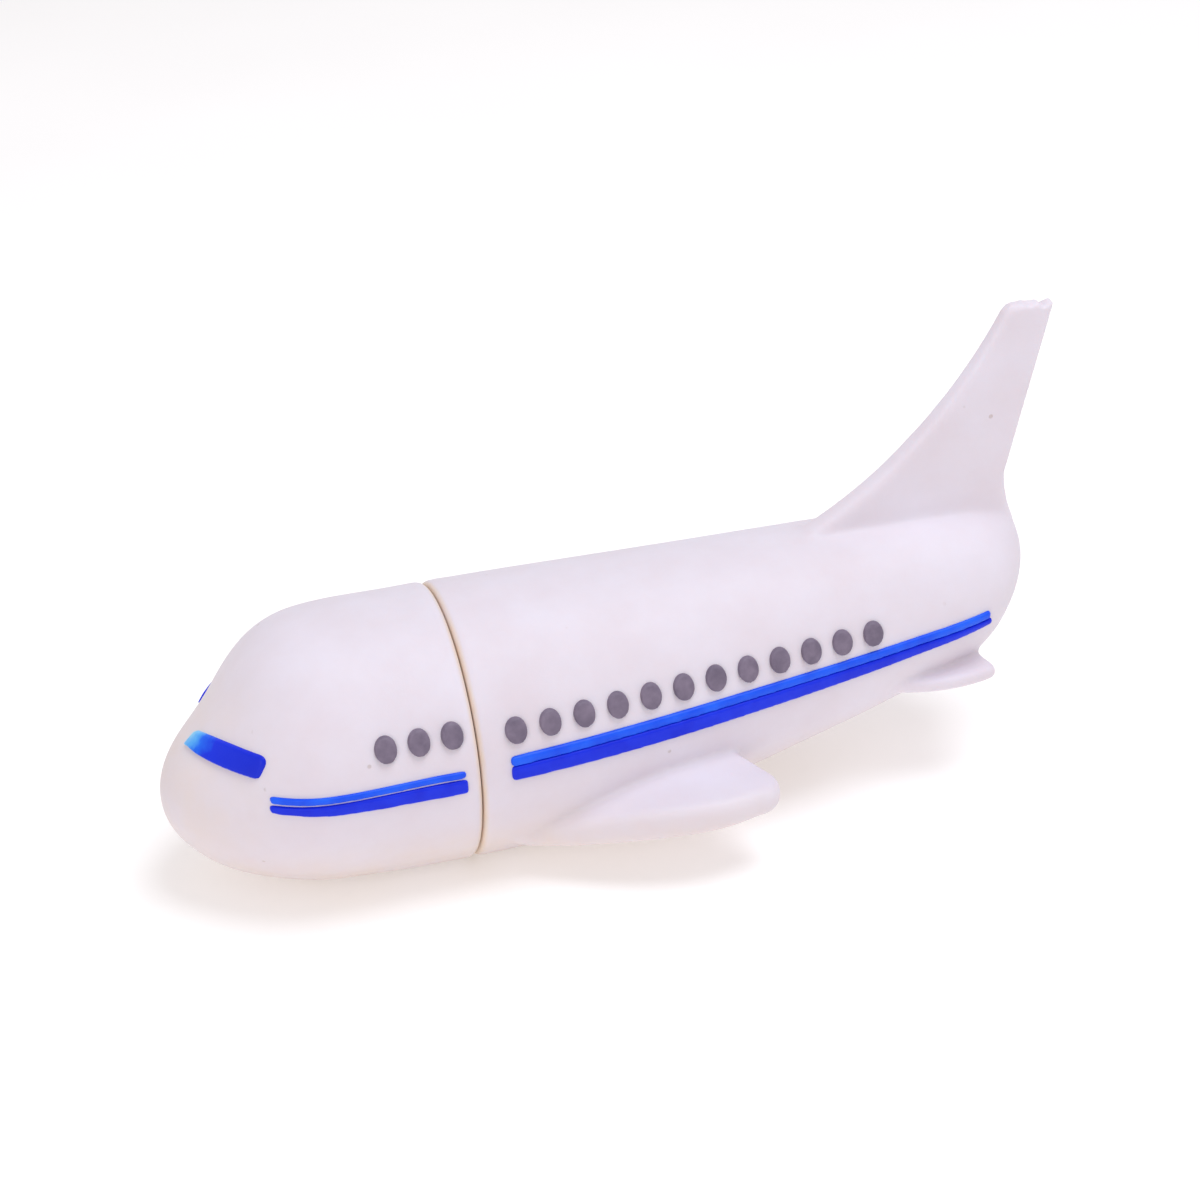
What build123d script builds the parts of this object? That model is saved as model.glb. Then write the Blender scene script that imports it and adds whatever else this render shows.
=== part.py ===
from build123d import *
import os

# A USB flash drive of soft PVC in the shape of an airliner. The nose is a cap that pulls forward
# off the plug. X runs towards the nose, Y to port and Z up, in millimetres. The origin is on the
# ground, midway between the nose and the tip of the fin.

os.makedirs("parts", exist_ok=True)

# The fuselage is drawn about its own axis, from the seam where the cap meets the body. The belly
# is flat where it would pass below the ground.
AXIS_Z = 10.25
SEAM_X = 14.2
SEAM_GAP = 0.1
RIM_RADIUS = 0.5

# Cross-sections: distance forward of the seam, crown height, keel height, half width
SECTIONS = [
    (-48.6, 7.7, 5.0, 1.4),
    (-47.7, 9.0, 2.6, 3.25),
    (-45.8, 9.9, -0.4, 5.2),
    (-42.5, 10.3, -2.9, 6.65),
    (-37.5, 10.45, -4.5, 7.6),
    (-30.0, 10.55, -6.55, 8.7),
    (-22.5, 10.6, -8.45, 9.6),
    (-15.0, 10.7, -10.0, 10.4),
    (-7.5, 10.85, -10.85, 10.9),
    (0.0, 11.0, -11.0, 11.0),
    (4.5, 11.0, -10.85, 11.05),
    (9.0, 10.95, -10.5, 11.1),
    (12.0, 10.45, -10.2, 10.85),
    (14.75, 8.9, -9.6, 9.75),
    (17.2, 6.2, -8.85, 8.1),
    (19.4, 3.7, -7.75, 6.2),
    (21.2, 1.85, -6.2, 4.3),
    (22.4, -0.1, -4.5, 2.35),
    (22.82, -1.2, -3.2, 1.05),
]
NOSE_TIP = (22.95, -2.15)
TAIL_TIP = (-48.87, 6.6)
SECTION_GAP_MAX = 2.6

# Flying surfaces
WING_FRONT = -2.8
WING_DROOP = 0.18
WING_EDGE_RADIUS = 0.9
STABILIZER_TOP = -0.6
STABILIZER_THICKNESS = 1.15
STABILIZER_EDGE_RADIUS = 0.4
FIN_ROOT_THICKNESS = 2.3
FIN_ROOT_HEIGHT = 6.5
FIN_TIP_THICKNESS = 1.3
FIN_TIP_HEIGHT = 27.3
FIN_TIP_BACK = -51.3
FIN_EDGE_RADIUS = 0.35

# Coloured PVC let into the skin
INLAY_RAISE = 0.15
INLAY_DEPTH = 0.7
WINDOW_RADII = (0.83, 0.92)
CAP_WINDOW_COUNT = 3
CAP_WINDOW_PITCH = 2.55
CAP_WINDOW_FIRST = 6.96
CAP_WINDOW_HEIGHT = 4.5
BODY_WINDOW_COUNT = 12
BODY_WINDOW_PITCH = 2.71
BODY_WINDOW_FIRST = -3.0
BODY_WINDOW_HEIGHT = 3.98
BODY_WINDOW_RISE = 0.08
STRIPE_END_RADIUS = 0.2

# USB-A plug
PLUG_WIDTH = 12.0
PLUG_HEIGHT = 4.5
PLUG_CORNER = 0.5
PLUG_WALL = 0.3
PLUG_REACH = 12.5
PLUG_BACK = -5.0
PLUG_MOUTH_DEPTH = 9.0
LATCH_SIZE = 2.4
LATCH_SETBACK = 6.3
LATCH_SPREAD = 6.4
TONGUE_TOP = PLUG_HEIGHT / 2 - PLUG_WALL
TONGUE_FRONT = PLUG_REACH - 0.4
CONTACT_THICKNESS = 0.2
CONTACT_WIDTH = 1.0
CONTACT_FRONT = TONGUE_FRONT - 0.8
CONTACT_BACK = -7.2
CONTACT_OFFSETS = (-3.5, -1.0, 1.0, 3.5)

# Cap liner
LINER_WALL = 1.05
LINER_CLEARANCE = 0.05
LINER_DEPTH = 13.4

# Core case
CASE_WIDTH = 14.0
CASE_HEIGHT = 6.8
CASE_WALL = 0.9
CASE_BACK = -28.8
CASE_CORNER = 3.0
CAVITY_FRONT = -3.0
CAVITY_BACK = CASE_BACK + CASE_WALL
CAVITY_CORNER = CASE_CORNER - CASE_WALL

# Circuit board, with its upper face level with the body axis, and what is soldered to it
BOARD_THICKNESS = 1.0
BOARD_WIDTH = 12.0
BOARD_FRONT = -5.2
BOARD_BACK = -27.3
CONTROLLER_X = -14.0
CONTROLLER_SIZE = 7.0
CONTROLLER_HEIGHT = 1.4
FLASH_X = -16.4
FLASH_LENGTH = 18.4
FLASH_WIDTH = 12.0
FLASH_HEIGHT = 1.0
CHIP_STANDOFF = 0.1
LEAD_PITCH = 0.5
LEAD_WIDTH = 0.22
LEAD_REACH = 0.9
LEAD_THICKNESS = 0.12
CONTROLLER_LEADS_PER_SIDE = 12
FLASH_LEADS_PER_END = 24
CAPACITOR_SPOTS = [(-8.5, -5.0), (-8.5, 5.0), (-20.0, 4.4), (-20.0, -4.4), (-24.6, 4.0)]
RESISTOR_SPOTS = [(-21.8, 4.4), (-21.8, -4.4), (-23.4, -4.4), (-24.6, -2.2)]
CRYSTAL_X = -21.6
LED_X = -25.0

# Planes through the body axis at the seam: SIDE is seen from starboard, with x forward and y up;
# FRONT is seen from the nose, with x to port and y up; LEVEL is seen from above
SIDE = Plane(origin=(SEAM_X, 0, AXIS_Z), x_dir=(1, 0, 0), z_dir=(0, -1, 0))
FRONT = Plane(origin=(SEAM_X, 0, AXIS_Z), x_dir=(0, 1, 0), z_dir=(1, 0, 0))
LEVEL = Plane(origin=(SEAM_X, 0, AXIS_Z))
TO_PORT = -30.0
CAP_BACK = SEAM_GAP / 2
BODY_FRONT = -SEAM_GAP / 2


def save(shape, name):
    """Label one finished piece and write it."""
    shape.label = name
    export_step(shape, f"parts/{name}.step")


def slope(stations, index, item):
    """How fast one measure of the sections changes along the fuselage at one station."""
    behind = stations[index][0] - stations[index - 1][0]
    ahead = stations[index + 1][0] - stations[index][0]
    from_behind = (stations[index][item] - stations[index - 1][item]) / behind
    to_ahead = (stations[index + 1][item] - stations[index][item]) / ahead
    return (from_behind * ahead + to_ahead * behind) / (behind + ahead)


def fair_sections():
    """The sections, with one more faired in between each two that stand far apart."""
    tail = (TAIL_TIP[0], TAIL_TIP[1], TAIL_TIP[1], 0)
    nose = (NOSE_TIP[0], NOSE_TIP[1], NOSE_TIP[1], 0)
    stations = [tail, *SECTIONS, nose]
    faired = []
    for index, here in enumerate(SECTIONS, start=1):
        faired.append(here)
        after = stations[index + 1]
        gap = after[0] - here[0]
        if gap > SECTION_GAP_MAX:
            between = [(here[0] + after[0]) / 2]
            for item in (1, 2, 3):
                bend = slope(stations, index, item) - slope(stations, index + 1, item)
                between.append((here[item] + after[item]) / 2 + gap * bend / 8)
            faired.append(between)
    return faired


def fuselage(grow=0.0):
    """The whole fuselage from tail to nose, with its skin moved out by grow."""
    slices = []
    for forward, crown, keel, half_width in fair_sections():
        reach = NOSE_TIP[0] if forward > 0 else -TAIL_TIP[0]
        station = forward * (1 + grow / reach)
        with BuildSketch(FRONT.offset(station)) as section:
            with Locations((0, (crown + keel) / 2)):
                Ellipse(half_width + grow, (crown - keel) / 2 + grow)
        slices.append(section.sketch)
    tail = SIDE.from_local_coords((TAIL_TIP[0] - grow, TAIL_TIP[1], 0))
    nose = SIDE.from_local_coords((NOSE_TIP[0] + grow, NOSE_TIP[1], 0))
    with BuildPart() as whole:
        loft(sections=[Vertex(*tail), *slices, Vertex(*nose)])
    return whole.part


skin = fuselage()
raised_skin = fuselage(INLAY_RAISE)
sunk_skin = fuselage(-INLAY_DEPTH)


def stripe(lower, upper):
    """A long band on the side plane between two bowed edges of three points each."""
    with BuildSketch(SIDE) as outline:
        with BuildLine():
            ThreePointArc(*lower)
            ThreePointArc(*upper)
            Line(lower[0], upper[0])
            Line(lower[-1], upper[-1])
        make_face()
        fillet(outline.vertices(), radius=STRIPE_END_RADIUS)
    return outline.sketch


def window_row(first, height, rise, pitch, count):
    """A row of oval windows on the side plane, running aft from the first one."""
    with BuildSketch(SIDE) as row:
        for index in range(count):
            with Locations((first - index * pitch, height + index * rise)):
                Ellipse(*WINDOW_RADII)
    return row.sketch


def inlay(outline, amount=TO_PORT):
    """The slice of skin under an outline: raised outside, and sunk into the wall."""
    with BuildPart() as slab:
        extrude(outline, amount=amount)
        add(raised_skin, mode=Mode.INTERSECT)
        add(sunk_skin, mode=Mode.SUBTRACT)
    return slab.part


# --- Coloured inlays of the port side ---

port_inlays = {
    "cap_windows": inlay(
        window_row(CAP_WINDOW_FIRST, CAP_WINDOW_HEIGHT, 0.0, CAP_WINDOW_PITCH, CAP_WINDOW_COUNT)
    ),
    "cap_stripe_upper": inlay(
        stripe(
            lower=[(1.2, 1.2), (8.5, 1.27), (15.7, 1.15)],
            upper=[(1.2, 1.72), (8.5, 1.78), (15.7, 1.66)],
        )
    ),
    "cap_stripe_lower": inlay(
        stripe(
            lower=[(1.15, -0.12), (8.5, 0.12), (15.8, 0.42)],
            upper=[(1.15, 1.02), (8.5, 1.12), (15.8, 0.98)],
        )
    ),
    "body_windows": inlay(
        window_row(
            BODY_WINDOW_FIRST,
            BODY_WINDOW_HEIGHT,
            BODY_WINDOW_RISE,
            BODY_WINDOW_PITCH,
            BODY_WINDOW_COUNT,
        )
    ),
    "body_stripe_upper": inlay(
        stripe(
            lower=[(-2.35, 1.36), (-23.0, 2.3), (-43.6, 3.3)],
            upper=[(-2.35, 2.02), (-23.0, 2.9), (-43.6, 3.9)],
        )
    ),
    "body_stripe_lower": inlay(
        stripe(
            lower=[(-2.35, 0.17), (-23.0, 1.1), (-43.8, 2.72)],
            upper=[(-2.35, 1.24), (-23.0, 2.2), (-43.8, 3.17)],
        )
    ),
}

# Windshield pane: a band seen from the front, from the centre post round to the side
with BuildSketch(FRONT) as pane_outline:
    with BuildLine():
        Line((0.6, 2.72), (7.9, 2.8))
        Line((7.9, 2.8), (7.9, 4.35))
        ThreePointArc((7.9, 4.35), (4.0, 4.2), (0.6, 3.6))
        Line((0.6, 3.6), (0.6, 2.72))
    make_face()
    fillet(pane_outline.vertices().group_by(Axis.Y)[-1], radius=0.6)
port_inlays["windshield"] = inlay(pane_outline.sketch, amount=NOSE_TIP[0] + 1)

# --- Flying surfaces, each a loose solid that is joined to the body shell below ---

# Wing: its plan outline, cut from a plate that rises aft and droops towards the tip
with BuildSketch(LEVEL) as wing_plan:
    with BuildLine():
        Line((WING_FRONT, 3.0), (WING_FRONT, 8.8))
        Spline((WING_FRONT, 8.8), (-6.0, 10.75), (-12.0, 14.0), (-18.0, 15.3), (-20.6, 14.95))
        ThreePointArc((-20.6, 14.95), (-22.5, 14.1), (-22.7, 12.4))
        Line((-22.7, 12.4), (-17.2, 3.0))
        Line((-17.2, 3.0), (WING_FRONT, 3.0))
    make_face()
with BuildSketch(SIDE) as wing_plate:
    with BuildLine():
        Spline((0.0, -5.9), (-2.5, -4.75), (-7.0, -2.75), (-12.0, -0.95), (-17.0, -0.4), (-23.5, -0.6))
        Line((-23.5, -0.6), (-23.5, -2.8))
        Spline((0.0, -6.8), (-2.5, -6.4), (-7.0, -5.3), (-12.0, -3.85), (-17.0, -3.05), (-23.5, -2.8))
        Line((0.0, -6.8), (0.0, -5.9))
    make_face()
with BuildPart() as wing:
    extrude(wing_plan.sketch, amount=-AXIS_Z)
    extrude(wing_plate.sketch, amount=-TO_PORT, dir=(0, 1, -WING_DROOP), mode=Mode.INTERSECT)
    fillet(wing.edges().filter_by(lambda edge: edge.center().Y > 5.5), radius=WING_EDGE_RADIUS)

# Stabilizer: a thin stub plate
with BuildSketch(LEVEL.offset(STABILIZER_TOP)) as stabilizer_plan:
    with BuildLine():
        Line((-33.6, 2.0), (-33.6, 6.0))
        ThreePointArc((-33.6, 6.0), (-38.6, 8.0), (-43.9, 7.5))
        Line((-43.9, 7.5), (-43.2, 2.0))
        Line((-43.2, 2.0), (-33.6, 2.0))
    make_face()
    fillet(stabilizer_plan.vertices().group_by(Axis.Y)[-1], radius=0.6)
with BuildPart() as stabilizer:
    extrude(stabilizer_plan.sketch, amount=-STABILIZER_THICKNESS)
    rim_edges = stabilizer.edges().filter_by(lambda edge: edge.center().Y > 2.5)
    fillet(rim_edges.filter_by(Axis.Z, reverse=True), radius=STABILIZER_EDGE_RADIUS)

# Fin: its side outline, cut from a wedge that thins towards the tip
with BuildSketch(SIDE) as fin_outline:
    with BuildLine():
        ThreePointArc((-28.4, 9.9), (-40.5, 18.05), (-47.3, FIN_TIP_HEIGHT))
        Line((-47.3, FIN_TIP_HEIGHT), (FIN_TIP_BACK, FIN_TIP_HEIGHT))
        Line((FIN_TIP_BACK, FIN_TIP_HEIGHT), (-47.2, 12.9))
        ThreePointArc((-47.2, 12.9), (-47.45, 11.2), (-48.2, 8.8))
        Line((-48.2, 8.8), (-45.5, FIN_ROOT_HEIGHT))
        Line((-45.5, FIN_ROOT_HEIGHT), (-28.4, FIN_ROOT_HEIGHT))
        Line((-28.4, FIN_ROOT_HEIGHT), (-28.4, 9.9))
    make_face()
with BuildSketch(FRONT.offset(FIN_TIP_BACK - 1)) as fin_wedge:
    with BuildLine():
        Polyline(
            (-FIN_ROOT_THICKNESS / 2, FIN_ROOT_HEIGHT),
            (FIN_ROOT_THICKNESS / 2, FIN_ROOT_HEIGHT),
            (FIN_TIP_THICKNESS / 2, FIN_TIP_HEIGHT),
            (-FIN_TIP_THICKNESS / 2, FIN_TIP_HEIGHT),
            close=True,
        )
    make_face()
with BuildPart() as fin:
    extrude(fin_outline.sketch, amount=-TO_PORT, both=True)
    extrude(fin_wedge.sketch, amount=-TO_PORT, mode=Mode.INTERSECT)
    outer_edges = fin.edges().filter_by(lambda edge: edge.center().Z > AXIS_Z + 12)
    fillet(outer_edges, radius=FIN_EDGE_RADIUS)

# --- Core case: two hard plastic halves that meet level with the board's upper face ---

with BuildPart() as case_outside:
    with BuildSketch(FRONT.offset(BODY_FRONT)):
        Rectangle(CASE_WIDTH, CASE_HEIGHT)
    extrude(amount=CASE_BACK - BODY_FRONT)
    fillet(case_outside.edges().filter_by(Axis.Z).group_by(Axis.X)[0], radius=CASE_CORNER)

with BuildPart() as case_cavity:
    with BuildSketch(FRONT.offset(CAVITY_FRONT)):
        Rectangle(CASE_WIDTH - 2 * CASE_WALL, CASE_HEIGHT - 2 * CASE_WALL)
    extrude(amount=CAVITY_BACK - CAVITY_FRONT)
    fillet(case_cavity.edges().filter_by(Axis.Z).group_by(Axis.X)[0], radius=CAVITY_CORNER)


def case_rib(front, back, inner, outer, height):
    """A rib inside the case, from inner to outer off the centre line, up or down to height."""
    with BuildPart() as rib:
        with BuildSketch(LEVEL.offset(min(height))):
            for side in (-1, 1):
                with Locations(((front + back) / 2, side * (inner + outer) / 2)):
                    Rectangle(front - back, outer - inner)
        extrude(amount=max(height) - min(height))
        add(case_cavity.part, mode=Mode.INTERSECT)
    return rib.part


CAVITY_TOP = CASE_HEIGHT / 2 - CASE_WALL
upper_ribs = [
    case_rib(-5.3, -6.8, 4.6, CASE_WIDTH / 2, (0, CAVITY_TOP)),
    case_rib(-26.7, CAVITY_BACK, 0, CASE_WIDTH / 2, (0, CAVITY_TOP)),
]
lower_ribs = [
    case_rib(-5.3, -6.1, 0, CASE_WIDTH / 2, (-CAVITY_TOP, -BOARD_THICKNESS)),
    case_rib(-26.7, CAVITY_BACK, 0, CASE_WIDTH / 2, (-CAVITY_TOP, -BOARD_THICKNESS)),
]

with BuildPart() as core_case:
    add(case_outside.part)
    add(case_cavity.part, mode=Mode.SUBTRACT)
    with BuildSketch(FRONT.offset(BODY_FRONT)):
        RectangleRounded(PLUG_WIDTH, PLUG_HEIGHT, PLUG_CORNER)
    extrude(amount=CAVITY_FRONT - BODY_FRONT, mode=Mode.SUBTRACT)
with BuildPart() as core_case_upper:
    add(core_case.part)
    split(bisect_by=LEVEL, keep=Keep.TOP)
    add(upper_ribs)
with BuildPart() as core_case_lower:
    add(core_case.part)
    split(bisect_by=LEVEL, keep=Keep.BOTTOM)
    add(lower_ribs)
save(core_case_upper.part, "core_case_upper")
save(core_case_lower.part, "core_case_lower")

# --- Cap liner: a hard sleeve, closed at the front, that grips the plug ---

LINER_WIDTH = PLUG_WIDTH + 2 * (LINER_CLEARANCE + LINER_WALL)
LINER_HEIGHT = PLUG_HEIGHT + 2 * (LINER_CLEARANCE + LINER_WALL)
with BuildPart() as liner_block:
    with BuildSketch(FRONT.offset(CAP_BACK)):
        RectangleRounded(LINER_WIDTH, LINER_HEIGHT, PLUG_CORNER + LINER_WALL)
    extrude(amount=LINER_DEPTH + LINER_WALL - CAP_BACK)
with BuildPart() as cap_liner:
    add(liner_block.part)
    with BuildSketch(FRONT.offset(CAP_BACK)):
        RectangleRounded(
            PLUG_WIDTH + 2 * LINER_CLEARANCE, PLUG_HEIGHT + 2 * LINER_CLEARANCE, PLUG_CORNER
        )
    extrude(amount=LINER_DEPTH - CAP_BACK, mode=Mode.SUBTRACT)
save(cap_liner.part, "cap_liner")

# --- Soft PVC shells: the port half is modelled and the starboard half mirrored ---

with BuildPart() as cap_shell_port:
    add(skin)
    split(bisect_by=FRONT.offset(CAP_BACK), keep=Keep.TOP)
    fillet(cap_shell_port.edges().group_by(Axis.X)[0], radius=RIM_RADIUS)
    split(bisect_by=Plane.XY, keep=Keep.TOP)
    split(bisect_by=Plane.XZ, keep=Keep.BOTTOM)
    for name in ("cap_windows", "cap_stripe_upper", "cap_stripe_lower", "windshield"):
        add(port_inlays[name], mode=Mode.SUBTRACT)
    add(liner_block.part, mode=Mode.SUBTRACT)

with BuildPart() as fuselage_shell_port:
    add(skin)
    split(bisect_by=FRONT.offset(BODY_FRONT), keep=Keep.BOTTOM)
    fillet(fuselage_shell_port.edges().group_by(Axis.X)[-1], radius=RIM_RADIUS)
    add(wing.part)
    add(stabilizer.part)
    add(fin.part)
    split(bisect_by=Plane.XY, keep=Keep.TOP)
    split(bisect_by=Plane.XZ, keep=Keep.BOTTOM)
    for name in ("body_windows", "body_stripe_upper", "body_stripe_lower"):
        add(port_inlays[name], mode=Mode.SUBTRACT)
    add(case_outside.part, mode=Mode.SUBTRACT)

port_pieces = {**port_inlays, "cap_shell": cap_shell_port.part}
port_pieces["fuselage_shell"] = fuselage_shell_port.part
for name, piece in port_pieces.items():
    save(piece, f"{name}_port")
    save(mirror(piece, about=Plane.XZ), f"{name}_starboard")

# --- USB-A plug ---

with BuildPart() as usb_plug_shell:
    with BuildSketch(FRONT.offset(PLUG_BACK)):
        RectangleRounded(PLUG_WIDTH, PLUG_HEIGHT, PLUG_CORNER)
        RectangleRounded(
            PLUG_WIDTH - 2 * PLUG_WALL, PLUG_HEIGHT - 2 * PLUG_WALL, PLUG_CORNER - PLUG_WALL / 2,
            mode=Mode.SUBTRACT,
        )
    extrude(amount=PLUG_REACH - PLUG_BACK)
    with BuildSketch(LEVEL):
        with Locations((PLUG_REACH - LATCH_SETBACK, 0)):
            with GridLocations(0, LATCH_SPREAD, 1, 2):
                Rectangle(LATCH_SIZE, LATCH_SIZE)
    extrude(amount=PLUG_HEIGHT, both=True, mode=Mode.SUBTRACT)
save(usb_plug_shell.part, "usb_plug_shell")

with BuildPart() as usb_contacts:
    with BuildSketch(LEVEL):
        for offset in CONTACT_OFFSETS:
            with Locations(((CONTACT_FRONT + CONTACT_BACK) / 2, offset)):
                Rectangle(CONTACT_FRONT - CONTACT_BACK, CONTACT_WIDTH)
    extrude(amount=CONTACT_THICKNESS)
save(usb_contacts.part, "usb_contacts")

# The tongue hangs under the shell's roof, and its back block closes the shell round the contacts
with BuildPart() as usb_tongue:
    block_front = PLUG_REACH - PLUG_MOUTH_DEPTH
    with BuildSketch(FRONT.offset(PLUG_BACK + 0.4)):
        RectangleRounded(
            PLUG_WIDTH - 2 * PLUG_WALL, PLUG_HEIGHT - 2 * PLUG_WALL, PLUG_CORNER - PLUG_WALL / 2
        )
    extrude(amount=block_front - PLUG_BACK - 0.4)
    with BuildSketch(FRONT.offset(block_front)):
        with Locations((0, (TONGUE_TOP + CONTACT_THICKNESS) / 2)):
            Rectangle(PLUG_WIDTH - 2 * PLUG_WALL - 0.5, TONGUE_TOP - CONTACT_THICKNESS)
    extrude(amount=TONGUE_FRONT - block_front)
    add(usb_contacts.part, mode=Mode.SUBTRACT)
save(usb_tongue.part, "usb_tongue")

# --- Circuit board and its chips ---

with BuildPart() as circuit_board:
    with BuildSketch(LEVEL) as board:
        with Locations(((BOARD_FRONT + BOARD_BACK) / 2, 0)):
            Rectangle(BOARD_FRONT - BOARD_BACK, BOARD_WIDTH)
        fillet(board.vertices().group_by(Axis.X)[0], radius=CAVITY_CORNER)
    extrude(amount=-BOARD_THICKNESS)
save(circuit_board.part, "circuit_board")


def chip_body(length, width, height):
    """A moulded chip body above local z = 0, with its upper edges bevelled."""
    with BuildPart() as body:
        with Locations((0, 0, CHIP_STANDOFF)):
            Box(length, width, height, align=(Align.CENTER, Align.CENTER, Align.MIN))
        chamfer(body.faces().sort_by(Axis.Z)[-1].edges(), length=0.12)
    return body.part


def lead_row(edge, count, shoulder):
    """Gull-wing leads along a chip's edge at local x = edge, from the shoulder down to z = 0."""
    knee = edge + LEAD_REACH / 3
    foot = edge + LEAD_REACH
    with BuildPart() as row:
        with BuildSketch(Plane.XZ.offset(-LEAD_WIDTH / 2)):
            with BuildLine():
                Polyline(
                    (edge, shoulder),
                    (knee, shoulder),
                    (knee + LEAD_THICKNESS, LEAD_THICKNESS),
                    (foot, LEAD_THICKNESS),
                    (foot, 0),
                    (knee, 0),
                    (knee - LEAD_THICKNESS, shoulder - LEAD_THICKNESS),
                    (edge, shoulder - LEAD_THICKNESS),
                    close=True,
                )
            make_face()
        extrude(amount=LEAD_WIDTH)
    with BuildPart() as leads:
        with GridLocations(0, LEAD_PITCH, 1, count):
            add(row.part)
    return leads.part


controller_spot = LEVEL.from_local_coords((CONTROLLER_X, 0, 0))
with BuildPart() as controller_chip:
    with Locations(controller_spot):
        add(chip_body(CONTROLLER_SIZE, CONTROLLER_SIZE, CONTROLLER_HEIGHT))
save(controller_chip.part, "controller_chip")

controller_row = lead_row(CONTROLLER_SIZE / 2, CONTROLLER_LEADS_PER_SIDE, CONTROLLER_HEIGHT / 2)
with BuildPart() as controller_leads:
    with Locations(controller_spot):
        with PolarLocations(0, 4):
            add(controller_row)
save(controller_leads.part, "controller_leads")

# The flash chip hangs under the board: it is built upright and turned over
flash_spot = Location(LEVEL.from_local_coords((FLASH_X, 0, -BOARD_THICKNESS)), (180, 0, 0))
with BuildPart() as flash_chip:
    with Locations(flash_spot):
        add(chip_body(FLASH_LENGTH, FLASH_WIDTH, FLASH_HEIGHT))
save(flash_chip.part, "flash_chip")

flash_row = lead_row(FLASH_LENGTH / 2, FLASH_LEADS_PER_END, FLASH_HEIGHT / 2)
with BuildPart() as flash_leads:
    with Locations(flash_spot):
        with PolarLocations(0, 2):
            add(flash_row)
save(flash_leads.part, "flash_leads")


def small_parts(spots, length, width, height):
    """Small block parts that stand on the board at the given spots."""
    with BuildPart() as group:
        for spot in spots:
            with Locations(LEVEL.from_local_coords((*spot, 0))):
                Box(length, width, height, align=(Align.CENTER, Align.CENTER, Align.MIN))
    return group.part


save(small_parts([(CRYSTAL_X, 0)], 3.2, 5.0, 1.0), "crystal")
save(small_parts(CAPACITOR_SPOTS, 0.8, 1.6, 0.8), "capacitors")
save(small_parts(RESISTOR_SPOTS, 0.8, 1.6, 0.45), "resistors")
save(small_parts([(LED_X, 0)], 0.8, 1.6, 0.6), "status_led")
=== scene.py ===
import math

import bmesh
import bpy
import numpy as np
from mathutils import Matrix, Vector, noise


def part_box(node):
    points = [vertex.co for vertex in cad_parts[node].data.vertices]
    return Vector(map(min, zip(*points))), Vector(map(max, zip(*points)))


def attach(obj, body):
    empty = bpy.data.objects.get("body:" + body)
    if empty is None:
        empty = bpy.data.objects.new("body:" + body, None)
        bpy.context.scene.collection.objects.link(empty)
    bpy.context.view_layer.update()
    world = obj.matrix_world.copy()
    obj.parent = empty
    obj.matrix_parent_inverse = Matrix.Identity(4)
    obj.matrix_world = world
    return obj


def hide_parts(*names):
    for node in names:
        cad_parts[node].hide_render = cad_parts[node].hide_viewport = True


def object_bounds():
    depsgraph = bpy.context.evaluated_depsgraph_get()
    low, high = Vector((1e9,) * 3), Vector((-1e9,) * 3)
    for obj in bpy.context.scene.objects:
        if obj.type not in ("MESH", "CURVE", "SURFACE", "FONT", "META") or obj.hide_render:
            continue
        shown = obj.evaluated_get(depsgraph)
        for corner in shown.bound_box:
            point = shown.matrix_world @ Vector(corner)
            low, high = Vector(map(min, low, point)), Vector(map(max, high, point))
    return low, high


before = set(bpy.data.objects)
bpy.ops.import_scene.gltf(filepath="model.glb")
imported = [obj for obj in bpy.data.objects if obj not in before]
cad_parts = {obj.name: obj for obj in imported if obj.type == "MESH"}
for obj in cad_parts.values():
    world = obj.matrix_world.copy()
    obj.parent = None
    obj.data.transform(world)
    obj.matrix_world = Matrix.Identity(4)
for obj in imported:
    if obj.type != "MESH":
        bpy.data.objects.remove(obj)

# The looks of a soft PVC airliner that hides a USB flash drive. The nose cap pulls off the plug.
# Mesh work is done in millimetres and written back in metres.

MM = 0.001
SIDES = ("port", "starboard")
cad_low, cad_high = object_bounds()
centre = (cad_low + cad_high) / 2

# The seam is midway between the two shells, and the body axis is the middle of the core case
seam_faces = (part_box("fuselage_shell_port")[1].x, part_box("cap_shell_port")[0].x)
case_faces = (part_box("core_case_lower")[0].z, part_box("core_case_upper")[1].z)
SEAM_X = (seam_faces[0] + seam_faces[1]) / 2 / MM
AXIS_Z = (case_faces[0] + case_faces[1]) / 2 / MM


# ---------------------------------------------------------------------------------------------
# Camera, floor and light
# ---------------------------------------------------------------------------------------------

CAMERA_AZIMUTH = math.radians(73.727)
CAMERA_ELEVATION = math.radians(27.99)
CAMERA_ROLL = math.radians(-2.833)
CAMERA_DISTANCE = 198.04 * MM
CAMERA_LENS = 75.76
CAMERA_SENSOR = 36.0
CAMERA_CLIP = (0.005, 20.0)
TARGET_SHIFT = Vector((1.1, 0.0, -0.6)) * MM

BACKDROP_COLOUR = (0.985, 0.965, 1.0, 1.0)
BACKDROP_STRENGTH = 0.62
FLOOR_REACH = 6.0
FLOOR_DROP = 0.02 * MM

scene = bpy.context.scene
target = centre + TARGET_SHIFT
away = Vector((
    math.cos(CAMERA_ELEVATION) * math.cos(CAMERA_AZIMUTH),
    math.cos(CAMERA_ELEVATION) * math.sin(CAMERA_AZIMUTH),
    math.sin(CAMERA_ELEVATION),
))
level_right = Vector((0, 0, 1)).cross(away).normalized()
level_up = away.cross(level_right)
right = level_right * math.cos(CAMERA_ROLL) + level_up * math.sin(CAMERA_ROLL)
up = away.cross(right)
camera_data = bpy.data.cameras.new("camera")
camera_data.lens = CAMERA_LENS
camera_data.sensor_width = CAMERA_SENSOR
camera_data.clip_start, camera_data.clip_end = CAMERA_CLIP
camera = bpy.data.objects.new("camera", camera_data)
turn = Matrix((right, up, away)).transposed().to_4x4()
camera.matrix_world = Matrix.Translation(target + away * CAMERA_DISTANCE) @ turn
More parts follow.
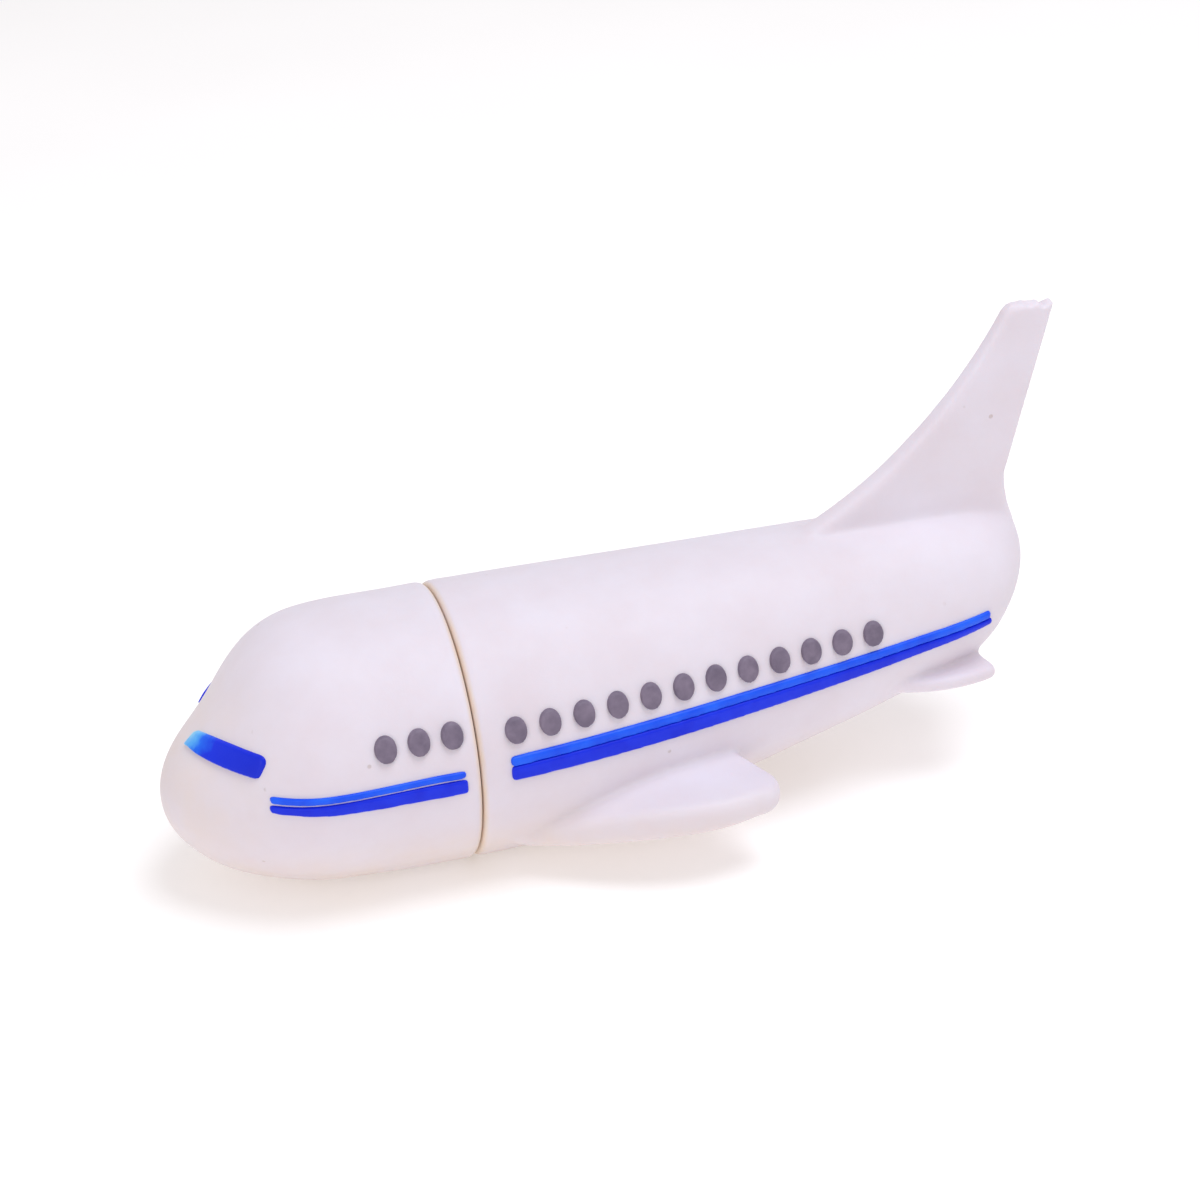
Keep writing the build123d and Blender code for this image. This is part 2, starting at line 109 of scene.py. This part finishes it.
scene.collection.objects.link(camera)
scene.camera = camera
scene.view_settings.view_transform = "Standard"


def linear(*channels):
    """A colour given in 0-255 display values, as the scene-linear colour nodes want."""
    shares = [value / 255 for value in channels]
    return tuple(
        share / 12.92 if share <= 0.04045 else ((share + 0.055) / 1.055) ** 2.4
        for share in shares
    ) + (1.0,)


def area_light(name, place, aim, size, power, colour):
    """A round soft light at a place, turned towards its aim."""
    data = bpy.data.lights.new(name, "AREA")
    data.shape = "DISK"
    data.size = size
    data.energy = power
    data.color = colour
    lamp = bpy.data.objects.new(name, data)
    lamp.location = place
    lamp.rotation_mode = "QUATERNION"
    lamp.rotation_quaternion = (Vector(aim) - Vector(place)).to_track_quat("-Z", "Y")
    scene.collection.objects.link(lamp)


world = bpy.data.worlds.new("studio")
world.use_nodes = True
backdrop = world.node_tree.nodes["Background"]
backdrop.inputs["Color"].default_value = BACKDROP_COLOUR
backdrop.inputs["Strength"].default_value = BACKDROP_STRENGTH
scene.world = world

area_light(
    "key",
    place=(-0.10, 0.06, 0.42),
    aim=(0, 0, 0.015),
    size=0.26,
    power=0.94,
    colour=(0.89, 0.94, 1.0),
)
area_light(
    "front",
    place=(0.30, 0.28, 0.20),
    aim=(0.01, 0, 0.012),
    size=0.22,
    power=0.28,
    colour=(1.0, 0.96, 0.97),
)

floor_mesh = bpy.data.meshes.new("floor")
floor_form = bmesh.new()
bmesh.ops.create_grid(floor_form, x_segments=8, y_segments=8, size=FLOOR_REACH)
floor_form.to_mesh(floor_mesh)
floor_form.free()
floor = bpy.data.objects.new("floor", floor_mesh)
floor.location = (0, 0, -FLOOR_DROP)
scene.collection.objects.link(floor)


# ---------------------------------------------------------------------------------------------
# Materials
# ---------------------------------------------------------------------------------------------

# The colour sockets of a mix node: share, first and second, and the result
MIX_COLOUR_INPUTS = (0, 6, 7)
MIX_COLOUR_OUTPUT = 2


class Finish:
    """A material being built: one Principled shader and the nodes that feed it."""

    def __init__(self, name):
        self.material = bpy.data.materials.new(name)
        self.material.use_nodes = True
        self.tree = self.material.node_tree
        self.shader = self.tree.nodes["Principled BSDF"]
        self.place = self.node("ShaderNodeTexCoord").outputs["Object"]

    def node(self, kind, **settings):
        """A new node of that kind with its settings."""
        made = self.tree.nodes.new(kind)
        for key, value in settings.items():
            setattr(made, key, value)
        return made

    def link(self, source, socket):
        self.tree.links.new(source, socket)

    def set(self, socket, value):
        """One value for the whole of a shader socket."""
        self.shader.inputs[socket].default_value = value

    def grain(self, size_mm, detail=3.0, roughness=0.55, stretch=(1, 1, 1)):
        """Noise whose lumps are about size_mm across."""
        mapping = self.node("ShaderNodeMapping")
        mapping.inputs["Scale"].default_value = [1 / MM / size_mm * s for s in stretch]
        self.link(self.place, mapping.inputs["Vector"])
        field = self.node("ShaderNodeTexNoise")
        field.inputs["Scale"].default_value = 1.0
        field.inputs["Detail"].default_value = detail
        field.inputs["Roughness"].default_value = roughness
        self.link(mapping.outputs["Vector"], field.inputs["Vector"])
        return field.outputs["Fac"]

    def ramp(self, source, *stops):
        """A colour ramp through (position, colour) stops."""
        made = self.node("ShaderNodeValToRGB")
        elements = made.color_ramp.elements
        while len(elements) < len(stops):
            elements.new(0.5)
        for element, (position, colour) in zip(elements, stops):
            element.position = position
            element.color = colour
        self.link(source, made.inputs["Fac"])
        return made.outputs["Color"]

    def span(self, source, low, high, out_low=0.0, out_high=1.0, smooth=False):
        """The source's run from low to high, as a run from out_low to out_high."""
        made = self.node("ShaderNodeMapRange")
        if smooth:
            made.interpolation_type = "SMOOTHSTEP"
        limits = {"From Min": low, "From Max": high, "To Min": out_low, "To Max": out_high}
        for key, value in limits.items():
            made.inputs[key].default_value = value
        self.link(source, made.inputs["Value"])
        return made.outputs["Result"]

    def maths(self, operation, first, second=None):
        """A sum of sockets or plain numbers."""
        made = self.node("ShaderNodeMath", operation=operation)
        for item, value in enumerate((first, second)):
            if value is None:
                continue
            if isinstance(value, (int, float)):
                made.inputs[item].default_value = value
            else:
                self.link(value, made.inputs[item])
        return made.outputs[0]

    def mix(self, share, first, second):
        """The first colour with this share of the second."""
        made = self.node("ShaderNodeMix", data_type="RGBA", blend_type="MIX")
        for item, value in zip(MIX_COLOUR_INPUTS, (share, first, second)):
            if hasattr(value, "is_linked"):
                self.link(value, made.inputs[item])
            else:
                made.inputs[item].default_value = value
        return made.outputs[MIX_COLOUR_OUTPUT]

    def axes(self):
        """The place's x, y and z."""
        split = self.node("ShaderNodeSeparateXYZ")
        self.link(self.place, split.inputs["Vector"])
        return split.outputs

    def colour(self, source):
        self.link(source, self.shader.inputs["Base Color"])

    def roughness(self, source):
        self.link(source, self.shader.inputs["Roughness"])

    def bump(self, height, depth_mm, strength):
        """Relief of that depth, over the bumps that are there already."""
        made = self.node("ShaderNodeBump")
        made.inputs["Strength"].default_value = strength
        made.inputs["Distance"].default_value = depth_mm * MM
        self.link(height, made.inputs["Height"])
        last = self.shader.inputs["Normal"]
        if last.is_linked:
            self.link(last.links[0].from_socket, made.inputs["Normal"])
        self.link(made.outputs["Normal"], last)


def soft_pvc(name, low_colour, high_colour, grain_mm, gloss):
    """Matte soft PVC of one colour with its faint clouding and moulded grain."""
    made = Finish(name)
    clouds = made.grain(grain_mm, detail=4.0)
    made.colour(made.ramp(clouds, (0.30, low_colour), (0.70, high_colour)))
    made.roughness(made.span(made.grain(0.6), 0.3, 0.7, gloss - 0.06, gloss + 0.08))
    made.bump(made.grain(0.16, detail=2.0), 0.012, 0.5)
    made.bump(made.grain(1.4, detail=2.0), 0.03, 0.35)
    made.set("Specular IOR Level", 0.28)
    made.set("Subsurface Weight", 0.08)
    made.set("Subsurface Radius", (1.0, 1.0, 1.0))
    made.set("Subsurface Scale", 0.35 * MM)
    return made


PVC_CLOUDS = (
    (0.28, (0.735, 0.655, 0.705, 1)),
    (0.52, (0.755, 0.690, 0.750, 1)),
    (0.74, (0.775, 0.720, 0.790, 1)),
)
# The cream of the discoloured nose and of the painted warm shade towards the bottom
PVC_CREAM = (0.77, 0.665, 0.61, 1)
PVC_SPECK = (0.42, 0.31, 0.24, 1)
PVC_GRIME = (0.80, 0.64, 0.49, 1)
SPECK_SPACING = 2.6 * MM


def white_pvc():
    """The white skin: clouded, creamier at the nose, with painted warm shade towards the bottom,
    specked, grimed at the seam.
    """
    made = Finish("white_pvc")
    x, _, z = made.axes()
    clouds = made.grain(7.0, detail=5.0, roughness=0.6)
    skin = made.ramp(clouds, *PVC_CLOUDS)
    # Painted shade: the skin turns warm cream towards the bottom, where the floor's warm bounce and
    # shade fall; the cream at the nose is real discolouration.
    keel_shade = made.span(z, 2.0 * MM, 9.0 * MM, 1.0, 0.0, smooth=True)
    nose = made.span(x, 27.0 * MM, 36.0 * MM, 0.0, 0.7, smooth=True)
    patches = made.span(made.grain(4.0, detail=4.0), 0.30, 0.65, 0.40, 0.95)
    stain_and_keel_shade = made.maths("MULTIPLY", made.maths("MAXIMUM", keel_shade, nose), patches)
    skin = made.mix(stain_and_keel_shade, skin, PVC_CREAM)
    fleck = made.node("ShaderNodeTexVoronoi")
    fleck.inputs["Scale"].default_value = 1 / SPECK_SPACING
    fleck.inputs["Randomness"].default_value = 1.0
    made.link(made.place, fleck.inputs["Vector"])
    dot = made.span(fleck.outputs["Distance"], 0.045, 0.085, 1.0, 0.0, smooth=True)
    chosen = made.span(made.grain(3.1, detail=1.0), 0.54, 0.60)
    specks = made.maths("MULTIPLY", dot, chosen)
    skin = made.mix(made.maths("MULTIPLY", specks, 0.42), skin, PVC_SPECK)
    from_seam = made.maths("ABSOLUTE", made.maths("SUBTRACT", x, SEAM_X * MM))
    grime = made.span(from_seam, 0.10 * MM, 0.50 * MM, 0.85, 0.0, smooth=True)
    patches = made.span(made.grain(1.8, detail=4.0), 0.25, 0.6, 0.55, 1.0)
    made.colour(made.mix(made.maths("MULTIPLY", grime, patches), skin, PVC_GRIME))
    made.roughness(made.span(made.grain(0.9, detail=3.0), 0.3, 0.7, 0.46, 0.60))
    made.bump(made.grain(0.14, detail=2.0), 0.010, 0.45)
    made.bump(made.grain(1.9, detail=3.0), 0.05, 0.30)
    made.bump(specks, 0.05, 0.5)
    made.set("Specular IOR Level", 0.32)
    made.set("Subsurface Weight", 0.22)
    made.set("Subsurface Radius", (1.0, 0.72, 0.62))
    made.set("Subsurface Scale", 0.9 * MM)
    return made.material


# From the centre post outwards: the pale cyan stops beside the post are a painted highlight, and
# the deeper blues are the pane's own colour
PANE_BLUES_AND_HIGHLIGHT = (
    (0.0, linear(140, 206, 242)),
    (0.12, linear(80, 170, 244)),
    (0.25, linear(12, 104, 240)),
    (0.42, linear(0, 44, 222)),
    (1.0, linear(4, 36, 206)),
)


def windshield_blue():
    """A painted highlight of pale cyan beside the centre post, deepening to the pane's own royal
    blue round the side.
    """
    made = soft_pvc(
        "windshield_blue", linear(20, 60, 200), linear(40, 90, 240), grain_mm=1.2, gloss=0.34
    )
    _, y, _ = made.axes()
    wobble = made.span(made.grain(1.0, detail=2.0), 0.3, 0.7, -0.35 * MM, 0.35 * MM)
    wavy = made.maths("ADD", made.maths("ABSOLUTE", y), wobble)
    made.colour(made.ramp(made.span(wavy, 0.6 * MM, 7.9 * MM), *PANE_BLUES_AND_HIGHLIGHT))
    return made.material


def hard_plastic(name, low_colour, high_colour, gloss=0.42, grain_mm=1.6):
    """Moulded plastic of one colour with a fine grain."""
    made = Finish(name)
    clouds = made.grain(grain_mm, detail=4.0)
    made.colour(made.ramp(clouds, (0.3, low_colour), (0.7, high_colour)))
    made.roughness(made.span(made.grain(0.5), 0.3, 0.7, gloss - 0.05, gloss + 0.07))
    made.bump(made.grain(0.10, detail=2.0), 0.008, 0.6)
    made.set("Specular IOR Level", 0.45)
    return made


def metal(name, low_colour, high_colour, gloss, brushed=(1, 1, 1)):
    """Plated metal, brushed along the axis whose share is small."""
    made = Finish(name)
    made.colour(made.ramp(made.grain(2.4, detail=4.0), (0.3, low_colour), (0.7, high_colour)))
    scratches = made.grain(0.35, detail=5.0, roughness=0.7, stretch=brushed)
    made.roughness(made.span(scratches, 0.3, 0.7, gloss - 0.06, gloss + 0.12))
    made.bump(scratches, 0.004, 0.5)
    made.set("Metallic", 1.0)
    return made


TRACK_SPACING = 2.4 * MM


def board_green():
    """Solder mask with the pale lines of tracks under it."""
    made = Finish("board_green")
    tracks = made.node("ShaderNodeTexWave", wave_type="BANDS", bands_direction="Y")
    tracks.inputs["Scale"].default_value = 1 / TRACK_SPACING
    tracks.inputs["Distortion"].default_value = 2.0
    tracks.inputs["Detail"].default_value = 1.0
    made.link(made.place, tracks.inputs["Vector"])
    lines = made.span(tracks.outputs["Fac"], 0.80, 0.88)
    clouds = made.grain(2.0, detail=4.0)
    mask = made.ramp(clouds, (0.3, linear(8, 74, 38)), (0.7, linear(14, 98, 52)))
    made.colour(made.mix(made.maths("MULTIPLY", lines, 0.55), mask, linear(46, 140, 84)))
    made.roughness(made.span(made.grain(0.8), 0.3, 0.7, 0.26, 0.38))
    made.bump(lines, 0.02, 0.6)
    return made.material


# Two display colours that the clouding runs between, and how the finish differs from its kind
SOFT_PVC = {
    "window_grey": ((108, 97, 115), (132, 119, 137), {"grain_mm": 1.1, "gloss": 0.46}),
    "stripe_blue_light": ((8, 72, 230), (26, 100, 246), {"grain_mm": 2.2, "gloss": 0.40}),
    "stripe_blue_deep": ((0, 32, 212), (10, 48, 228), {"grain_mm": 2.2, "gloss": 0.40}),
}
HARD_PLASTIC = {
    "liner_white": ((214, 210, 204), (232, 229, 224), {}),
    "case_grey": ((196, 194, 192), (216, 214, 212), {}),
    "tongue_white": ((222, 220, 214), (238, 237, 232), {"gloss": 0.34}),
    "chip_black": ((26, 26, 28), (40, 40, 42), {"gloss": 0.55, "grain_mm": 0.6}),
    "capacitor_tan": ((158, 120, 82), (182, 144, 104), {"gloss": 0.36, "grain_mm": 0.5}),
    "resistor_black": ((24, 24, 26), (42, 42, 44), {"gloss": 0.40, "grain_mm": 0.4}),
    "led_clear": ((206, 214, 226), (232, 238, 244), {"gloss": 0.18, "grain_mm": 0.5}),
}
METAL = {
    "plug_steel": ((186, 188, 192), (214, 216, 220), {"gloss": 0.24, "brushed": (0.06, 1, 1)}),
    "contact_gold": ((214, 168, 84), (236, 196, 112), {"gloss": 0.22, "brushed": (0.08, 1, 1)}),
    "lead_tin": ((176, 178, 182), (204, 206, 208), {"gloss": 0.30}),
    "crystal_can": ((196, 196, 194), (220, 220, 218), {"gloss": 0.20, "brushed": (0.1, 1, 1)}),
}

finishes = {
    "white_pvc": white_pvc(),
    "windshield_blue": windshield_blue(),
    "board_green": board_green(),
}
for kind, table in ((soft_pvc, SOFT_PVC), (hard_plastic, HARD_PLASTIC), (metal, METAL)):
    for name, (low_colour, high_colour, settings) in table.items():
        made = kind(name, linear(*low_colour), linear(*high_colour), **settings)
        finishes[name] = made.material

FLOOR_TONES = ((0.3, (0.79, 0.785, 0.78, 1)), (0.7, (0.81, 0.805, 0.80, 1)))
FLOOR_GLOW = (1.0, 0.95, 0.90, 1.0)

floor_finish = Finish("floor_paper")
floor_clouds = floor_finish.grain(60.0, detail=2.0)
floor_finish.colour(floor_finish.ramp(floor_clouds, *FLOOR_TONES))
floor_finish.roughness(floor_finish.span(floor_finish.grain(4.0), 0.3, 0.7, 0.85, 0.95))
floor_finish.set("Specular IOR Level", 0.1)
floor_finish.set("Emission Color", FLOOR_GLOW)
floor_finish.set("Emission Strength", 0.30)
floor_mesh.materials.append(floor_finish.material)


# ---------------------------------------------------------------------------------------------
# Mesh work
# ---------------------------------------------------------------------------------------------

WELD = 0.0005


def gathered(nodes):
    """The meshes of these CAD nodes in one bmesh, in millimetres. A node may come with a squeeze:
    a point, and the share of its distance from it that each vertex keeps on each axis, so that a
    raised inlay ends up level."""
    form = bmesh.new()
    for node, squeeze in nodes:
        start = len(form.verts)
        form.from_mesh(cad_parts[node].data)
        form.verts.ensure_lookup_table()
        for vertex in form.verts[start:]:
            vertex.co = vertex.co / MM
            if squeeze is not None:
                anchor, shares = squeeze
                for axis in range(3):
                    reach = vertex.co[axis] - anchor[axis]
                    vertex.co[axis] = anchor[axis] + reach * shares[axis]
    bmesh.ops.remove_doubles(form, verts=form.verts, dist=WELD)
    return form


def remeshed(form, voxel):
    """A new mesh of the solid that the form encloses, as an even net of quads."""
    rough = bpy.data.meshes.new("rough")
    form.to_mesh(rough)
    form.free()
    holder = bpy.data.objects.new("holder", rough)
    scene.collection.objects.link(holder)
    modifier = holder.modifiers.new("net", "REMESH")
    modifier.mode = "VOXEL"
    modifier.voxel_size = voxel
    modifier.use_smooth_shade = True
    graph = bpy.context.evaluated_depsgraph_get()
    mesh = bpy.data.meshes.new_from_object(holder.evaluated_get(graph))
    bpy.data.objects.remove(holder)
    bpy.data.meshes.remove(rough)
    return mesh


def points_of(mesh):
    """The mesh's vertices, one row each."""
    flat = np.empty(len(mesh.vertices) * 3)
    mesh.vertices.foreach_get("co", flat)
    return flat.reshape(-1, 3)


def edges_of(mesh):
    """The mesh's edges, each as its two vertex numbers."""
    flat = np.empty(len(mesh.edges) * 2, np.int32)
    mesh.edges.foreach_get("vertices", flat)
    return flat.reshape(-1, 2)


def relaxed(points, edges, rounds, strength):
    """The points after each has moved towards the middle of its neighbours some rounds over."""
    first, second = edges.T
    total = len(points)
    count = np.bincount(edges.ravel(), minlength=total)
    now = points.copy()
    for _ in range(rounds):
        for axis in range(3):
            line = now[:, axis]
            ahead = np.bincount(first, line[second], total)
            behind = np.bincount(second, line[first], total)
            now[:, axis] = line + strength * ((ahead + behind) / count - line)
    return now


def faired(points, edges, rounds, strength):
    """Relaxed, then put back to size: what one pass takes off in shrinkage the second returns."""
    once = relaxed(points, edges, rounds, strength)
    twice = relaxed(once, edges, rounds, strength)
    return 2 * once - twice


def ramp_up(values, low, high):
    """0 below low, 1 above high, and a smooth step between."""
    share = np.clip((values - low) / (high - low), 0, 1)
    return share * share * (3 - 2 * share)


def blend_from(least, share):
    """From the least value at share 0 to 1 at share 1."""
    return least + (1 - least) * share


def distance_to_box(points, low, high):
    """How far each point is outside a box."""
    outside = np.maximum(np.maximum(np.array(low) - points, points - np.array(high)), 0)
    return np.linalg.norm(outside, axis=1)


def finished(mesh, points, name, body, slot, *nodes):
    """The piece of that name from a mesh and its new points, in place of its CAD nodes."""
    mesh.vertices.foreach_set("co", (points * MM).ravel())
    mesh.update()
    mesh.name = name
    mesh.materials.clear()
    mesh.materials.append(finishes[slot])
    mesh.polygons.foreach_set("use_smooth", [True] * len(mesh.polygons))
    piece = bpy.data.objects.new(name, mesh)
    scene.collection.objects.link(piece)
    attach(piece, body)
    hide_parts(*nodes)


# ---------------------------------------------------------------------------------------------
# The two white skins
# ---------------------------------------------------------------------------------------------

SKIN_VOXEL = 0.22
SKIN_SOFTENING = 14
SKIN_FAIRING = 170
PULL = 0.5
SQUEEZE = 0.975
RIM_ADVANCE = 0.03
RIM_BAND = (0.1, 0.6)
SEAM_BAND = (0.9, 2.4)
BOX_MARGIN = 0.2
FIN_TOP_SOFTNESS = 0.2
FIN_TOP_REACH = 4.0
CRISP_SOFTNESS = 0.3
CRISP_REACH = 1.0

# Boxes measured from the seam, with y beside the centre plane. Inside the first kind the skin isn't
# faired: low corner, high corner, and how far outside the box the full fairing starts.
UNFAIRED = [
    ((-25.0, 4.5, -12.0), (-1.5, 18.0, -1.6), 1.6),
    ((-45.5, 3.5, -3.6), (-32.0, 12.0, 0.6), 1.6),
    ((-60.0, 0.0, 9.0), (-27.0, 2.2, 30.0), 2.0),
    ((-30.0, 0.0, -4.2), (16.5, 8.2, 4.2), 0.8),
]
# Inside these its edges are softened less: the tips of the wing and stabilizer, and the rims
CRISP = [
    ((-25.0, 9.8, -12.0), (-2.0, 18.0, -1.5)),
    ((-45.5, 5.6, -3.6), (-32.0, 12.0, 0.6)),
    ((-1.2, 0.0, -12.0), (1.2, 12.0, 12.0)),
]
FIN_TOP = ((-60.0, 0.0, 14.0), (-40.0, 3.0, 30.0))


def skin(shells, inlays, panes=()):
    """A seamless moulding from its two halves, with its inlays' pockets filled level: its mesh, its
    smoothed points, and where those points were, measured from the seam."""
    level = ((0, 0, AXIS_Z), (1.0, SQUEEZE, SQUEEZE))
    nodes = [(node, None) for node in shells] + [(node, level) for node in inlays]
    mesh = remeshed(gathered(nodes + list(panes)), SKIN_VOXEL)
    points = points_of(mesh)
    edges = edges_of(mesh)
    start = points - (SEAM_X, 0, AXIS_Z)
    beside = np.abs(start) * (0, 1, 0) + start * (1, 0, 1)
    from_seam = np.abs(start[:, 0])

    fairing = ramp_up(from_seam, *SEAM_BAND)
    for low, high, reach in UNFAIRED:
        outside = distance_to_box(beside, low, high)
        fairing = np.minimum(fairing, ramp_up(outside, BOX_MARGIN, reach))
    outside = distance_to_box(beside, *FIN_TOP)
    softening = blend_from(FIN_TOP_SOFTNESS, ramp_up(outside, 0.0, FIN_TOP_REACH))
    for low, high in CRISP:
        outside = distance_to_box(beside, low, high)
        crisp = blend_from(CRISP_SOFTNESS, ramp_up(outside, 0.0, CRISP_REACH))
        softening = np.minimum(softening, crisp)
    points = relaxed(points, edges, SKIN_SOFTENING, PULL * softening)
    points = faired(points, edges, SKIN_FAIRING, PULL * fairing)

    # The soft rims all but touch
    at_rim = 1 - ramp_up(from_seam, *RIM_BAND)
    points[:, 0] -= np.sign(start[:, 0]) * RIM_ADVANCE * at_rim
    return mesh, points, start


INLAY_SLOTS = {
    "windows": "window_grey",
    "stripe_upper": "stripe_blue_light",
    "stripe_lower": "stripe_blue_deep",
}
fuselage_shells = [f"fuselage_shell_{side}" for side in SIDES]
cap_shells = [f"cap_shell_{side}" for side in SIDES]
fuselage_inlays = [f"body_{part}_{side}" for part in INLAY_SLOTS for side in SIDES]
cap_inlays = [f"cap_{part}_{side}" for part in INLAY_SLOTS for side in SIDES]

mesh, points, start = skin(fuselage_shells, fuselage_inlays)
# The fin's tip was cut from its sprue: slightly ragged, with a nick near its back corner
TIP_REACH = (0.8, 0.1)
TIP_DROP = 0.16
TIP_RAGGEDNESS = 0.2
TIP_GRAIN = 1.7
TIP_SLICE = 4.0
NICK_X = -50.3
NICK_WIDTH = 0.35
NICK_DEPTH = 0.35
tip_height = start[:, 2].max()
near_tip = ramp_up(start[:, 2], tip_height - TIP_REACH[0], tip_height - TIP_REACH[1])
ragged = np.array([
    noise.noise((x * TIP_GRAIN, y * TIP_GRAIN, TIP_SLICE)) for x, y, _ in start[near_tip > 0]
])
drop = np.zeros(len(points))
drop[near_tip > 0] = TIP_DROP + TIP_RAGGEDNESS * ragged
nick = np.exp(-(((start[:, 0] - NICK_X) / NICK_WIDTH) ** 2)) * NICK_DEPTH
points[:, 2] -= near_tip * (drop + nick)
finished(mesh, points, "fuselage_skin", "fuselage", "white_pvc", *fuselage_shells)

pane_squeeze = ((SEAM_X + 8.0, 0, AXIS_Z - 1.0), (SQUEEZE, SQUEEZE, SQUEEZE))
panes = [(f"windshield_{side}", pane_squeeze) for side in SIDES]
mesh, points, _ = skin(cap_shells, cap_inlays, panes)
finished(mesh, points, "cap_skin", "cap", "white_pvc", *cap_shells)


# ---------------------------------------------------------------------------------------------
# Windows, stripes and windshield
# ---------------------------------------------------------------------------------------------

INLAY_VOXEL = 0.075
INLAY_SOFTENING = 15
WINDOW_SWELL = 0.03
PANE_SWELL = 0.03
STRIPE_SWELL = {"cap": 0.02, "body": 0.065}
# How far a piece is moved from its CAD place, with y outwards
WINDOW_LIFT = (0.0, 0.15, 0.0)
FAR_PANE_SHIFT = (-0.10, -0.10, 0.0)
# The starboard pane is trimmed where it would stand out past the nose: along its top edge and at
# its inner end. Each cut is a point and the way that is cut off.
FAR_PANE_CUTS = (
    ((0.0, -0.6, AXIS_Z + 3.2), (0.0, 0.1027, 1.0)),
    ((0.0, -4.9, AXIS_Z), (0.0, 1.0, 0.0)),
)


def soft_inlay(node, body, slot, swell, shift=(0.0, 0.0, 0.0), cuts=()):
    """An inlay of poured PVC: the CAD node's own form shifted (y is outwards) and trimmed by the
    cuts, with its edges drawn soft and all of it a little swollen."""
    form = gathered([(node, None)])
    outward = 1 if node.endswith("port") else -1
    bmesh.ops.translate(form, verts=form.verts, vec=(shift[0], shift[1] * outward, shift[2]))
    for point, way in cuts:
        everything = form.verts[:] + form.edges[:] + form.faces[:]
        bmesh.ops.bisect_plane(
            form, geom=everything, plane_co=point, plane_no=way, clear_outer=True
        )
        bmesh.ops.holes_fill(form, edges=form.edges[:])
    mesh = remeshed(form, INLAY_VOXEL)
    points = points_of(mesh)
    points = relaxed(points, edges_of(mesh), INLAY_SOFTENING, PULL)
    mesh.vertices.foreach_set("co", points.ravel())
    mesh.update()
    normals = np.empty(len(points) * 3, np.float32)
    mesh.vertices.foreach_get("normal", normals)
    points = points + swell * normals.reshape(-1, 3)
    finished(mesh, points, f"{node}_soft", body, slot, node)


for side in SIDES:
    for part, slot in INLAY_SLOTS.items():
        for zone, body in (("body", "fuselage"), ("cap", "cap")):
            node = f"{zone}_{part}_{side}"
            if part == "windows":
                soft_inlay(node, body, slot, WINDOW_SWELL, WINDOW_LIFT)
            else:
                soft_inlay(node, body, slot, STRIPE_SWELL[zone])
soft_inlay("windshield_port", "cap", "windshield_blue", PANE_SWELL)
soft_inlay(
    "windshield_starboard",
    "cap",
    "windshield_blue",
    PANE_SWELL,
    FAR_PANE_SHIFT,
    FAR_PANE_CUTS,
)


# ---------------------------------------------------------------------------------------------
# Finishes of the CAD nodes that stay
# ---------------------------------------------------------------------------------------------

KEPT_NODES = {
    "cap_liner": "liner_white",
    "core_case_upper": "case_grey",
    "core_case_lower": "case_grey",
    "circuit_board": "board_green",
    "usb_plug_shell": "plug_steel",
    "usb_tongue": "tongue_white",
    "usb_contacts": "contact_gold",
    "controller_chip": "chip_black",
    "controller_leads": "lead_tin",
    "flash_chip": "chip_black",
    "flash_leads": "lead_tin",
    "crystal": "crystal_can",
    "capacitors": "capacitor_tan",
    "resistors": "resistor_black",
    "status_led": "led_clear",
}
for node, slot in KEPT_NODES.items():
    cad_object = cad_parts[node]
    if not cad_object.material_slots:
        cad_object.data.materials.append(finishes[slot])
    for held in cad_object.material_slots:
        held.material = finishes[slot]
